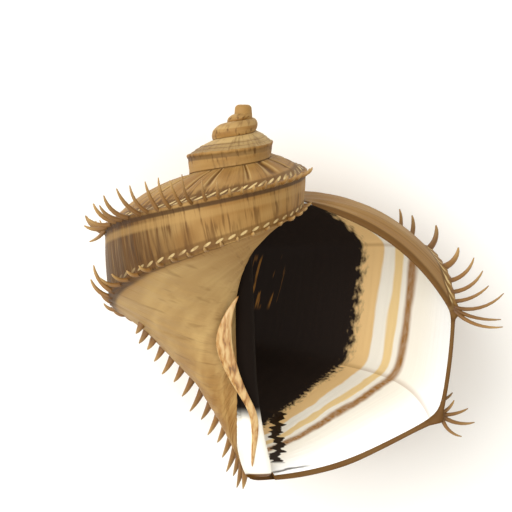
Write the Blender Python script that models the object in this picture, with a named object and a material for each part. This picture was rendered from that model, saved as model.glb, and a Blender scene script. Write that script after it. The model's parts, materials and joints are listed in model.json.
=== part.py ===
"""Fringed conch: a right-handed snail shell with two keels, each with a fringe of stiff bristles.

The shell lies on its back with the mouth up: +Z is up out of the mouth, +Y points to the apex and
+X to the outer lip. The origin is the bottom centre of its box. Sizes are in metres.

One section, the growth line of the mouth's rim, is turned about the axis and shrunk toward the
apex. A place on it is its radius, its drop below the apex, its lag, and its shares of the
shoulder's lift and of the lip's spread, at the size of the mouth. The lag is the angle by which a
place trails the outer lip, so that the growth lines lean. Turns are counted back from the mouth.
"""

import math

import bmesh
import bpy
from mathutils import Matrix, Vector

MM = 0.001

# The section at the mouth: radius, drop, lag in degrees, share of the lift, share of the spread
KEEL_1 = (23.4 * MM, 22.2 * MM, 5.5, 1.0, 0.0)
WALL = (22.9 * MM, 27.8 * MM, 7.5, 0.65, 0.0)
KEEL_2 = (22.3 * MM, 33.5 * MM, 9.8, 0.3, 0.2)
BASE = (
    (16.6 * MM, 36.0 * MM, 15.0, 0.2, 0.8),
    (12.6 * MM, 37.8 * MM, 21.0, 0.1, 1.0),
    (8.6 * MM, 39.1 * MM, 29.0, 0.0, 0.8),
    (5.4 * MM, 40.0 * MM, 42.0, 0.0, 0.3),
)
RIDGE = (2.6 * MM, 40.1 * MM, 57.0, 0.0, 0.0)
NAVEL = (1.3 * MM, 38.4 * MM, 70.0, 0.0, 0.0)
AXIS_DROP = 36.5 * MM

# Growth: a steady shrinking toward the apex, and the extra flare of the last turn
SHRINK = 0.67
FLARE = 0.52
FLARE_START = 0.08
LIFT = 6.0 * MM
LIFT_PEAK = 0.076
SPREAD = 1.0 * MM
SPREAD_TURNS = 0.03
RAMP_STEPS = 5
RAMP_BULGE_MOUTH = 0.12
RAMP_BULGE_SPIRE = 0.04
STEPS_PER_TURN = 44
TURNS = 3.75
LEAN = 1.1 * MM
LEAN_DEPTH = 4.0 * MM
APEX_DROP = 0.4 * MM
NUB_RADIUS = 0.95 * MM
NUB_DROP = 1.0 * MM

# The hollow, one turn deep, with a thinner wall at the rim
SHELL_WALL = 1.15 * MM
RIM_THINNING = 0.35
RIM_TURNS = 0.03
HOLLOW_TURNS = 0.95
PILLAR = ((1.5 * MM, 16.0 * MM, 45.0), (1.3 * MM, 23.0 * MM, 50.0), (1.5 * MM, 29.5 * MM, 55.0),
          (2.4 * MM, 34.6 * MM, 55.0))

# The inner lip: a curved strip from the body whorl down to the tip of the base, as x, drop, height
LIP_PATH = (
    (1.4 * MM, 18.6 * MM, 2.35 * MM),
    (0.3 * MM, 19.9 * MM, 3.05 * MM),
    (-1.2 * MM, 21.9 * MM, 2.85 * MM),
    (-1.7 * MM, 25.2 * MM, 2.05 * MM),
    (-0.9 * MM, 28.4 * MM, 1.35 * MM),
    (0.5 * MM, 31.4 * MM, 0.75 * MM),
    (1.7 * MM, 34.2 * MM, -0.05 * MM),
    (2.1 * MM, 37.0 * MM, -1.15 * MM),
    (1.9 * MM, 39.4 * MM, -2.25 * MM),
)
LIP_HALF_WIDTH = 0.9 * MM
LIP_HALF_DEPTH = 0.9 * MM
LIP_END_SHARE = 0.4
LIP_SIDES = 8

# The fringes. Each stands on a line from one place to another, and its gaps are as on the upper keel
FRINGES = (
    dict(start=KEEL_1, end=KEEL_1, first=0.002, last=1.07, gap=1.35 * MM, open_gap=2.6 * MM,
         half_width=0.26 * MM, tip=0.5, length=2.7 * MM, mouth_extra=2.8 * MM, curl=1.4,
         mouth_curl=0.8, droop=-0.15, mouth_droop=0.9, sweep=0.0),
    dict(start=KEEL_2, end=KEEL_2, first=0.002, last=0.96, gap=1.9 * MM, open_gap=2.8 * MM,
         half_width=0.25 * MM, tip=0.5, length=1.8 * MM, mouth_extra=1.9 * MM, curl=1.2,
         mouth_curl=0.8, droop=0.3, mouth_droop=0.4, sweep=0.0),
    dict(start=RIDGE, end=BASE[2], first=0.03, last=0.36, gap=4.6 * MM, open_gap=4.6 * MM,
         half_width=0.36 * MM, tip=0.25, length=1.8 * MM, mouth_extra=2.2 * MM, curl=0.3,
         mouth_curl=0.3, droop=1.5, mouth_droop=0.0, sweep=0.6),
)
MOUTH_REACH = 0.05
CORNER_REACH = 0.015
CROWDING = 0.8
UNEVENNESS = 0.2
GOLDEN = 0.618034
BRISTLE_SIDES = 4
BRISTLE_SEGMENTS = 3
ROOT_DEPTH = 0.55 * MM

# The flat spot that the shell lies on, and the depth below the axis that bristles don't reach
REST_CUT = 0.45 * MM
REST_DEPTH = 15.3 * MM

SHARP_DEGREES = 35.0


def smooth_step(value):
    """Returns a ramp from 0 to 1 with level ends."""
    value = min(max(value, 0.0), 1.0)
    return value * value * (3.0 - 2.0 * value)


def growth(turn):
    """Returns the size of the section, 1 at the mouth."""
    flare = smooth_step((turn - FLARE_START) / (1.0 - FLARE_START))
    return math.exp(-SHRINK * turn - FLARE * flare)


def lift(turn):
    """Returns how far the upper keel is raised behind the mouth."""
    stage = max(turn, 0.0) / LIFT_PEAK
    return LIFT * stage * math.exp(1.0 - stage)


def grown(place, turn):
    """Returns the radius, drop and lag of a place on the section after some turns."""
    radius, drop, lag, lift_share, spread_share = place
    size = growth(turn)
    spread = spread_share * SPREAD * math.exp(-turn / SPREAD_TURNS)
    return radius * size, (drop - lift_share * lift(turn) + spread) * size, lag


def to_space(radius, drop, lag, turn):
    """Returns the point in space, with the apex at the origin."""
    angle = -2.0 * math.pi * turn - math.radians(lag)
    lean = LEAN * max(0.0, 1.0 - drop / LEAN_DEPTH) ** 2
    return Vector((radius * math.cos(angle) + lean, -drop, radius * math.sin(angle)))


def outer_section(turn):
    """Returns the section's places from the suture to the lower keel."""
    suture = grown(KEEL_2, turn + 1.0)
    keel = grown(KEEL_1, turn)
    run = keel[0] - suture[0]
    fall = keel[1] - suture[1]
    whorl_share = smooth_step(turn)
    bulge = RAMP_BULGE_MOUTH + (RAMP_BULGE_SPIRE - RAMP_BULGE_MOUTH) * whorl_share
    places = [suture]
    for step in range(1, RAMP_STEPS):
        share = step / RAMP_STEPS
        rise = 4.0 * bulge * share * (1.0 - share)
        radius = suture[0] + run * share + fall * rise
        drop = suture[1] + fall * share - run * rise
        places.append((radius, drop, suture[2] + (keel[2] - suture[2]) * share))
    return places + [keel, grown(WALL, turn), grown(KEEL_2, turn)]


def base_section(turn):
    """Returns the section's places from the base to the axis."""
    places = [grown(place, turn) for place in BASE + (RIDGE, NAVEL)]
    return places + [(0.0, AXIS_DROP * growth(turn), 0.0)]


def hollow_section(turn):
    """Returns the closed section of the hollow inside the wall."""
    outside = outer_section(turn) + base_section(turn)[:len(BASE)]
    wall = SHELL_WALL * math.sqrt(growth(turn)) * (1.0 - RIM_THINNING * math.exp(-turn / RIM_TURNS))
    places = []
    for index in range(1, len(outside) - 1):
        before, here, after = outside[index - 1:index + 2]
        along = Vector((after[0] - before[0], after[1] - before[1])).normalized()
        places.append((here[0] - along.y * wall, here[1] + along.x * wall, here[2]))
    size = growth(turn)
    for radius, drop, lag in reversed(PILLAR):
        places.append((radius * size, drop * size, lag))
    for place in reversed((KEEL_2,) + BASE[:3]):
        radius, drop, lag = grown(place, turn + 1.0)
        places.append((radius * 1.05 + 0.1 * MM, drop + 0.35 * MM, lag))
    return places


def ring_points(places, turn):
    """Returns the points in space of one section."""
    return [to_space(radius, drop, lag, turn) for radius, drop, lag in places]


def add_strip(mesh, before, after, closed=False):
    """Joins two rows of vertices with quads, and leaves out edges that both rows share."""
    count = len(before)
    for index in range(count if closed else count - 1):
        nearby = (index + 1) % count
        corners = [before[index], before[nearby], after[nearby], after[index]]
        corners = [vert for place, vert in enumerate(corners) if vert not in corners[:place]]
        if len(corners) > 2:
            mesh.faces.new(corners)


def add_outer_surface(mesh):
    """Builds the outside of every whorl and returns the rim of the mouth."""
    steps = round(TURNS * STEPS_PER_TURN)
    rows = []
    for step in range(steps + 1):
        turn = step / STEPS_PER_TURN
        places = outer_section(turn)
        if step <= STEPS_PER_TURN:
            places += base_section(turn)
        rows.append([mesh.verts.new(point) for point in ring_points(places, turn)])
    keel_column = RAMP_STEPS + 2
    for step in range(steps + 1 - STEPS_PER_TURN):
        mesh.verts.remove(rows[step][0])
        rows[step][0] = rows[step + STEPS_PER_TURN][keel_column]
    for step in range(steps):
        count = min(len(rows[step]), len(rows[step + 1]))
        add_strip(mesh, rows[step][:count], rows[step + 1][:count])
    add_apex(mesh, rows, keel_column)
    mouth = rows[0] + [row[-1] for row in rows[1:STEPS_PER_TURN + 1]]
    return mouth + list(reversed(rows[STEPS_PER_TURN][keel_column + 1:-1]))


def add_apex(mesh, rows, keel_column):
    """Closes the first whorl with a low dome."""
    spiral = [row[0] for row in rows[-STEPS_PER_TURN - 1:]]
    top = mesh.verts.new(to_space(0.0, APEX_DROP, 0.0, 0.0))
    for before, after in zip(spiral, spiral[1:]):
        mesh.faces.new((before, after, top))
    mesh.faces.new(rows[-1][:keel_column + 1] + [top])


def add_hollow(mesh):
    """Builds the inside of the last whorl and returns its first ring, at the mouth."""
    steps = round(HOLLOW_TURNS * STEPS_PER_TURN)
    rows = []
    for step in range(steps + 1):
        turn = step / STEPS_PER_TURN
        rows.append([mesh.verts.new(point) for point in ring_points(hollow_section(turn), turn)])
    for before, after in zip(rows, rows[1:]):
        add_strip(mesh, before, after, closed=True)
    middle = sum((vert.co for vert in rows[-1]), Vector()) / len(rows[-1])
    end = mesh.verts.new(middle)
    for index, vert in enumerate(rows[-1]):
        mesh.faces.new((vert, rows[-1][(index + 1) % len(rows[-1])], end))
    return rows[0]


def loop_edges(mesh, loop):
    """Returns the edges of a closed row of vertices, made where they are missing."""
    edges = []
    for index, vert in enumerate(loop):
        ends = (vert, loop[(index + 1) % len(loop)])
        edges.append(mesh.edges.get(ends) or mesh.edges.new(ends))
    return edges


def mesh_object(name, mesh):
    """Turns a bmesh into an object with its faces outward."""
    bmesh.ops.recalc_face_normals(mesh, faces=mesh.faces)
    data = bpy.data.meshes.new(name)
    mesh.to_mesh(data)
    mesh.free()
    result = bpy.data.objects.new(name, data)
    bpy.context.scene.collection.objects.link(result)
    return result


def build_whorls():
    """Builds the coiled shell with its hollow, as one closed body."""
    mesh = bmesh.new()
    mouth = add_outer_surface(mesh)
    hollow = add_hollow(mesh)
    edges = loop_edges(mesh, mouth) + loop_edges(mesh, hollow)
    bmesh.ops.triangle_fill(mesh, use_beauty=True, use_dissolve=False, edges=edges)
    return mesh_object("shell", mesh)


def add_tube(mesh, centres, sides, across, deep, scales, hint):
    """Builds a closed tapered tube along some points, with flat ends."""
    rows = []
    for index, centre in enumerate(centres):
        ahead = centres[min(index + 1, len(centres) - 1)]
        behind = centres[max(index - 1, 0)]
        along = (ahead - behind).normalized()
        side = along.cross(hint).normalized()
        out = side.cross(along)
        row = []
        for corner in range(sides):
            angle = 2.0 * math.pi * (corner + 0.5) / sides
            offset = side * (across * math.cos(angle)) + out * (deep * math.sin(angle))
            row.append(mesh.verts.new(centre + offset * scales[index]))
        rows.append(row)
    for before, after in zip(rows, rows[1:]):
        add_strip(mesh, before, after, closed=True)
    mesh.faces.new(rows[0])
    mesh.faces.new(rows[-1])


def build_inner_lip():
    """Builds the curved strip of the inner lip."""
    mesh = bmesh.new()
    centres = [Vector((x, -drop, z)) for x, drop, z in LIP_PATH]
    last = len(centres) - 1
    swell = 1.0 - LIP_END_SHARE
    scales = [LIP_END_SHARE + swell * math.sin(math.pi * index / last) for index in range(last + 1)]
    add_tube(mesh, centres, LIP_SIDES, LIP_HALF_WIDTH, LIP_HALF_DEPTH, scales, Vector((0.0, 0.0, 1.0)))
    return mesh_object("inner_lip", mesh)


def bristle_root(fringe, turn):
    """Returns the point at which a bristle stands."""
    share = smooth_step((turn - fringe["first"]) / (fringe["last"] - fringe["first"]))
    place = [near + (far - near) * share for near, far in zip(fringe["start"], fringe["end"])]
    return to_space(*grown(place, turn), turn)


def add_bristle(mesh, fringe, turn, length):
    """Builds one bristle, which leaves its ridge and bends toward the apex."""
    root = bristle_root(fringe, turn)
    outward = Vector((root.x, 0.0, root.z)).normalized()
    backward = Vector((outward.z, 0.0, -outward.x))
    apexward = Vector((0.0, 1.0, 0.0))
    nearness = math.exp(-turn / CORNER_REACH)
    curl = fringe["curl"] + (fringe["mouth_curl"] - fringe["curl"]) * nearness
    droop = fringe["droop"] + fringe["mouth_droop"] * nearness
    start = (outward + backward * fringe["sweep"] - apexward * droop).normalized()
    bend = (apexward - start * apexward.dot(start)).normalized()
    centres = [root - start * ROOT_DEPTH]
    scales = [1.0]
    for segment in range(1, BRISTLE_SEGMENTS + 1):
        share = segment / BRISTLE_SEGMENTS
        reach = length * math.sin(curl * share) / curl
        rise = length * (1.0 - math.cos(curl * share)) / curl
        centres.append(root + start * reach + bend * rise)
        scales.append(1.0 - (1.0 - fringe["tip"]) * share)
    width = fringe["half_width"]
    add_tube(mesh, centres, BRISTLE_SIDES, width, width, scales, outward.cross(apexward))


def fringe_turns(fringe):
    """Returns the turns at which bristles stand, crowded at the corner of the mouth."""
    turns = []
    turn = fringe["first"]
    while turn < fringe["last"]:
        turns.append(turn)
        size = growth(turn)
        gap = max(fringe["gap"], fringe["open_gap"] * size)
        gap *= 1.0 - CROWDING * math.exp(-turn / CORNER_REACH)
        turn += gap / (2.0 * math.pi * KEEL_1[0] * size)
    return turns


def bristle_length(fringe, index, turn):
    """Returns the length of a bristle, longest at the mouth and short on the spire."""
    length = fringe["length"] + fringe["mouth_extra"] * math.exp(-turn / MOUTH_REACH)
    length *= min(1.0, 1.9 * growth(turn))
    return length * (1.0 - UNEVENNESS + 2.0 * UNEVENNESS * ((index * GOLDEN) % 1.0))


def build_bristles():
    """Builds the fringes of both keels and of the base."""
    mesh = bmesh.new()
    for fringe in FRINGES:
        for index, turn in enumerate(fringe_turns(fringe)):
            if bristle_root(fringe, turn).z > -REST_DEPTH:
                add_bristle(mesh, fringe, turn, bristle_length(fringe, index, turn))
    return mesh_object("bristles", mesh)


def build_nub():
    """Builds the blunt first whorl as a small ball."""
    mesh = bmesh.new()
    bmesh.ops.create_uvsphere(mesh, u_segments=14, v_segments=8, radius=NUB_RADIUS)
    bmesh.ops.rotate(mesh, verts=mesh.verts, matrix=Matrix.Rotation(math.pi / 2.0, 3, 'X'))
    bmesh.ops.translate(mesh, verts=mesh.verts, vec=to_space(0.0, NUB_DROP, 0.0, 0.0))
    return mesh_object("nub", mesh)


def fuse(target, tool, operation):
    """Joins a tool to the target, or cuts with it, and removes the tool."""
    modifier = target.modifiers.new(operation.lower(), 'BOOLEAN')
    modifier.object = tool
    modifier.operation = operation
    modifier.solver = 'EXACT'
    modifier.use_self = operation == 'UNION'
    graph = bpy.context.evaluated_depsgraph_get()
    result = bpy.data.meshes.new_from_object(target.evaluated_get(graph))
    target.modifiers.clear()
    target.data = result
    bpy.data.objects.remove(tool, do_unlink=True)


def lowest_shell_height():
    """Returns the height of the shell's lowest keel, without its bristles."""
    steps = 4 * STEPS_PER_TURN
    return min(to_space(*grown(KEEL_1, step / steps), step / steps).z for step in range(steps))


def cut_rest_spot(shell):
    """Cuts a small flat across the keels, where the shell lies."""
    floor = lowest_shell_height() + REST_CUT
    mesh = bmesh.new()
    mesh.from_mesh(shell.data)
    geometry = mesh.verts[:] + mesh.edges[:] + mesh.faces[:]
    cut = bmesh.ops.bisect_plane(mesh, geom=geometry, plane_co=(0.0, 0.0, floor), plane_no=(0.0, 0.0, -1.0),
                                 clear_outer=True, dist=1e-7)
    edges = [item for item in cut["geom_cut"] if isinstance(item, bmesh.types.BMEdge)]
    bmesh.ops.triangle_fill(mesh, use_beauty=True, edges=edges)
    bmesh.ops.recalc_face_normals(mesh, faces=mesh.faces)
    mesh.to_mesh(shell.data)
    mesh.free()


def stand_at_origin(shell):
    """Moves the mesh so that the bottom centre of its box is the origin."""
    points = [vert.co for vert in shell.data.vertices]
    low = Vector([min(point[axis] for point in points) for axis in range(3)])
    high = Vector([max(point[axis] for point in points) for axis in range(3)])
    shift = Vector((-(low.x + high.x) / 2.0, -(low.y + high.y) / 2.0, -low.z))
    for vert in shell.data.vertices:
        vert.co += shift


def shell_material():
    """Returns the tan, matt finish of the shell."""
    material = bpy.data.materials.new("shell")
    material.use_nodes = True
    principled = material.node_tree.nodes["Principled BSDF"]
    principled.inputs["Base Color"].default_value = (0.53, 0.33, 0.14, 1.0)
    principled.inputs["Roughness"].default_value = 0.6
    principled.inputs["Metallic"].default_value = 0.0
    return material


def main():
    """Builds the whole shell."""
    for item in list(bpy.data.objects):
        bpy.data.objects.remove(item, do_unlink=True)
    shell = build_whorls()
    fuse(shell, build_nub(), 'UNION')
    fuse(shell, build_inner_lip(), 'UNION')
    fuse(shell, build_bristles(), 'UNION')
    cut_rest_spot(shell)
    stand_at_origin(shell)
    shell.data.shade_smooth()
    shell.data.set_sharp_from_angle(angle=math.radians(SHARP_DEGREES))
    shell.data.materials.clear()
    shell.data.materials.append(shell_material())


main()
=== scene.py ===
"""Dresses the fringed conch: a right-handed snail shell with two keels, each with a fringe of bristles.

The shell lies on its back with the mouth up: +Z is up out of the mouth, +Y points to the apex and
+X to the outer lip. Sizes are in metres. One section, the growth line of the mouth's rim, is turned
about the axis and shrunk toward the apex, and turns are counted back from the mouth. A place on the
section is its radius, its drop below the apex, its lag in degrees behind the outer lip, and its
shares of the shoulder's lift and of the lip's spread, all at the size of the mouth.
"""

import json
import logging
import math
from contextlib import contextmanager
from dataclasses import dataclass, field
from enum import Enum
from functools import partialmethod
from typing import Iterator, Union

import bpy
import numpy as np
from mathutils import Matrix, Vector

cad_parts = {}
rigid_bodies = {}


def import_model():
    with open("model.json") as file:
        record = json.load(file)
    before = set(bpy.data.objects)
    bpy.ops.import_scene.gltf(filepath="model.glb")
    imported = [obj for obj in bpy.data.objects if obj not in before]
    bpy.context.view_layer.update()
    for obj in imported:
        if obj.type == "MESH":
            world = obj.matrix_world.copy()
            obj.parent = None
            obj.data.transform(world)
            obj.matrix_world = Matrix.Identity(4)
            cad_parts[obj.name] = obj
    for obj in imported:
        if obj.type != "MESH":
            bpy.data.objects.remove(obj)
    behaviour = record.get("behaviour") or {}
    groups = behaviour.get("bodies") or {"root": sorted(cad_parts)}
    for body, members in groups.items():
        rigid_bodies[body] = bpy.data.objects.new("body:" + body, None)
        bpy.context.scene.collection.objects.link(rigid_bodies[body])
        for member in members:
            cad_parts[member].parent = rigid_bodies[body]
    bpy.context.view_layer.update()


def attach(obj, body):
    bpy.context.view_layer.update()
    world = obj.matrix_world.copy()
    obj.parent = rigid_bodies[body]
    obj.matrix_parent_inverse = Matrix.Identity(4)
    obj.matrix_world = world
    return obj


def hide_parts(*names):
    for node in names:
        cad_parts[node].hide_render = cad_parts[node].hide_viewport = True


MM = 0.001
NODE = "shell"
BODY = "root"

# The folds below the suture: the millimetres between them, their slant, and the waves that make them
# uneven, each with its reach in millimetres, its rate and its start
FOLD_SPACING = 4.0
FOLD_SLANT = 0.08
FOLD_WAVES = ((0.7, 0.9, 0.0), (0.4, 0.37, 1.0))

# The rope of the keels: the millimetres to one twist, and how it slants across the cord
TWIST = 1.15
TWIST_SLANT = 7.0

# The places of the fine threads on the ramp, and the camera's tilt off the vertical in degrees
THREAD_PLACES = (0.45, 0.65, 0.83)
VIEW_TILT = 4.0

Place = tuple[float, float, float, float, float]
Colour = tuple[float, float, float, float]

log = logging.getLogger("conch")


def smooth_step(value: np.ndarray) -> np.ndarray:
    """Returns a ramp from 0 to 1 with level ends."""
    value = np.clip(value, 0.0, 1.0)
    return value * value * (3.0 - 2.0 * value)


def spline(points: np.ndarray, steps: np.ndarray) -> np.ndarray:
    """Runs a smooth curve through points.

    Args:
        points: the points, along the axis before the last.
        steps: where to read the curve, 0 at the first point and 1 more at each next one.

    Returns:
        The points of the curve, along the same axis.
    """
    last = points.shape[-2] - 1
    index = np.clip(np.floor(steps).astype(int), 0, last - 1)
    share = (steps - index)[:, None]
    first = points[..., :1, :]
    end = points[..., -1:, :]
    lead_in = 2 * first - points[..., 1:2, :]
    lead_out = 2 * end - points[..., -2:-1, :]
    padded = np.concatenate([lead_in, points, lead_out], axis=-2)
    before, here, after, beyond = (padded[..., index + offset, :] for offset in range(4))
    return 0.5 * (2 * here + (after - before) * share
                  + (2 * before - 5 * here + 4 * after - beyond) * share ** 2
                  + (3 * here - before - 3 * after + beyond) * share ** 3)


def slopes(section: np.ndarray) -> tuple[np.ndarray, np.ndarray]:
    """Follows sections along their columns.

    Args:
        section: radius, drop and lag, rows by columns by three.

    Returns:
        The direction along the section at each point, and the length along it from the first column.
    """
    along = np.gradient(section[..., :2], axis=1)
    along /= np.maximum(np.linalg.norm(along, axis=-1, keepdims=True), 1e-12)
    arc = np.linalg.norm(np.diff(section[..., :2], axis=1), axis=-1)
    return along, np.concatenate([np.zeros((len(arc), 1)), np.cumsum(arc, axis=1)], axis=1)


def shade(code: str) -> Colour:
    """Returns the linear colour of a web colour code such as C0935A."""
    parts = [int(code[start:start + 2], 16) / 255.0 for start in (0, 2, 4)]
    linear = [part / 12.92 if part <= 0.04045 else ((part + 0.055) / 1.055) ** 2.4 for part in parts]
    return (linear[0], linear[1], linear[2], 1.0)


# Growth and section


@dataclass(frozen=True)
class GrowthLaw:
    """How the section shrinks, lifts and leans from the mouth to the apex."""

    shrink: float = 0.67
    flare: float = 0.52
    flare_start: float = 0.08
    lift: float = 6.0 * MM
    lift_peak: float = 0.076
    spread: float = 1.0 * MM
    spread_turns: float = 0.03
    lean: float = 1.1 * MM
    lean_depth: float = 4.0 * MM
    apex: tuple[float, float, float] = (-6.1289 * MM, 20.5339 * MM, 19.0748 * MM)

    def size(self, turn: np.ndarray) -> np.ndarray:
        """Returns the size of the section, 1 at the mouth."""
        flare = smooth_step((turn - self.flare_start) / (1.0 - self.flare_start))
        return np.exp(-self.shrink * turn - self.flare * flare)

    def grown(self, places: np.ndarray, turn: np.ndarray) -> np.ndarray:
        """Grows places of the section back to earlier turns.

        Args:
            places: the places, five numbers along the last axis.
            turn: the turns, of a shape that spreads over the places.

        Returns:
            Radius, drop and lag of each place at each turn, along the last axis.
        """
        size = self.size(turn)
        stage = np.maximum(turn, 0.0) / self.lift_peak
        lifted = self.lift * stage * np.exp(1.0 - stage)
        spread = self.spread * np.exp(-turn / self.spread_turns)
        radius = places[..., 0] * size
        drop = (places[..., 1] - places[..., 3] * lifted + places[..., 4] * spread) * size
        lag = places[..., 2] + 0.0 * size
        return np.stack([radius, drop, lag], axis=-1)

    def stand(self, section: np.ndarray, turn: np.ndarray) -> np.ndarray:
        """Returns the points in space of a section's radius, drop and lag at some turns."""
        radius, drop, lag = section[..., 0], section[..., 1], section[..., 2]
        angle = -2.0 * math.pi * turn - np.radians(lag)
        lean = self.lean * np.maximum(0.0, 1.0 - drop / self.lean_depth) ** 2
        points = np.stack([radius * np.cos(angle) + lean, -drop, radius * np.sin(angle)], axis=-1)
        return points + np.array(self.apex)


@dataclass(frozen=True)
class Section:
    """The growth line of the rim, from the suture over both keels and the base to the axis."""

    keel_1: Place = (23.4 * MM, 22.2 * MM, 5.5, 1.0, 0.0)
    keel_2: Place = (22.3 * MM, 33.5 * MM, 9.8, 0.3, 0.2)
    base: tuple[Place, ...] = (
        (16.6 * MM, 36.0 * MM, 15.0, 0.2, 0.8),
        (12.6 * MM, 37.8 * MM, 21.0, 0.1, 1.0),
        (8.6 * MM, 39.1 * MM, 29.0, 0.0, 0.8),
        (5.4 * MM, 40.0 * MM, 42.0, 0.0, 0.3),
        (2.6 * MM, 40.1 * MM, 57.0, 0.0, 0.0),
        (1.3 * MM, 38.4 * MM, 70.0, 0.0, 0.0),
        (0.0, 36.5 * MM, 70.0, 0.0, 0.0),
    )
    pillar: tuple[Place, ...] = (
        (2.4 * MM, 34.6 * MM, 55.0, 0.0, 0.0),
        (1.5 * MM, 29.5 * MM, 55.0, 0.0, 0.0),
        (1.3 * MM, 23.0 * MM, 50.0, 0.0, 0.0),
        (1.5 * MM, 16.0 * MM, 45.0, 0.0, 0.0),
    )
    ramp_bulge_mouth: float = 0.12
    ramp_bulge_spire: float = 0.04
    ramp_bulge_apex: float = 0.15
    wall_bulge: float = 0.25 * MM
    wall_bulge_apex: float = 0.9 * MM
    keel_sinking: float = 2.6 * MM
    round_from: float = 1.8
    round_turns: float = 0.9
    ramp_columns: int = 22
    wall_columns: int = 18
    base_columns: int = 35
    inner_base: int = 3
    rim_base: int = 4

    def ramp_shares(self) -> np.ndarray:
        """Returns the columns from the suture to the upper keel, closer toward the keel."""
        return 1.0 - (1.0 - np.linspace(0.0, 1.0, self.ramp_columns + 1)) ** 1.4

    def wall_shares(self) -> np.ndarray:
        """Returns the columns from the upper to the lower keel, closer toward both."""
        even = np.linspace(0.0, 1.0, self.wall_columns + 1)
        return 0.2 * even + 0.4 * (1.0 - np.cos(math.pi * even))

    def base_steps(self) -> np.ndarray:
        """Returns the columns from the lower keel to the axis, as steps along the base's places."""
        return np.linspace(0.0, len(self.base), self.base_columns + 1)

    def youth(self, turn: np.ndarray) -> np.ndarray:
        """Returns how much a whorl is one of the round first ones, from 0 to 1."""
        return smooth_step((turn - self.round_from) / self.round_turns)

    def upper(self, law: GrowthLaw, turn: np.ndarray) -> np.ndarray:
        """Returns the upper keel, which sits lower on the early whorls."""
        keel = law.grown(np.array(self.keel_1), turn)
        keel[..., 1] += self.keel_sinking * smooth_step((turn - 1.05) / 0.4) * law.size(turn)
        return keel

    def ramp(self, law: GrowthLaw, turn: np.ndarray) -> np.ndarray:
        """Returns the section from the suture to the upper keel."""
        suture = law.grown(np.array(self.keel_2), turn + 1.0)
        keel = self.upper(law, turn)
        share = self.ramp_shares()
        run, fall = keel[..., 0] - suture[..., 0], keel[..., 1] - suture[..., 1]
        bulge = self.ramp_bulge_mouth + (self.ramp_bulge_spire - self.ramp_bulge_mouth) * smooth_step(turn)
        bulge = bulge + self.ramp_bulge_apex * self.youth(turn)
        rise = 4.0 * bulge * share * (1.0 - share)
        radius = suture[..., 0] + run * share + fall * rise
        drop = suture[..., 1] + fall * share - run * rise
        lag = suture[..., 2] + (keel[..., 2] - suture[..., 2]) * share
        return np.stack([radius, drop, lag], axis=-1)

    def wall(self, law: GrowthLaw, turn: np.ndarray) -> np.ndarray:
        """Returns the section from the upper to the lower keel, slightly swollen."""
        share = self.wall_shares()
        upper, lower = self.upper(law, turn), law.grown(np.array(self.keel_2), turn)
        section = upper + (lower - upper) * share[None, :, None]
        bulge = self.wall_bulge + self.wall_bulge_apex * self.youth(turn)
        section[..., 0] += bulge * np.sin(math.pi * share) * law.size(turn)
        return section

    def under(self, law: GrowthLaw, turn: np.ndarray, steps: np.ndarray) -> np.ndarray:
        """Returns the section along the base, at some steps of its places."""
        places = spline(np.array((self.keel_2,) + self.base), steps)
        return law.grown(places, turn)


# Work with meshes


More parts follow.
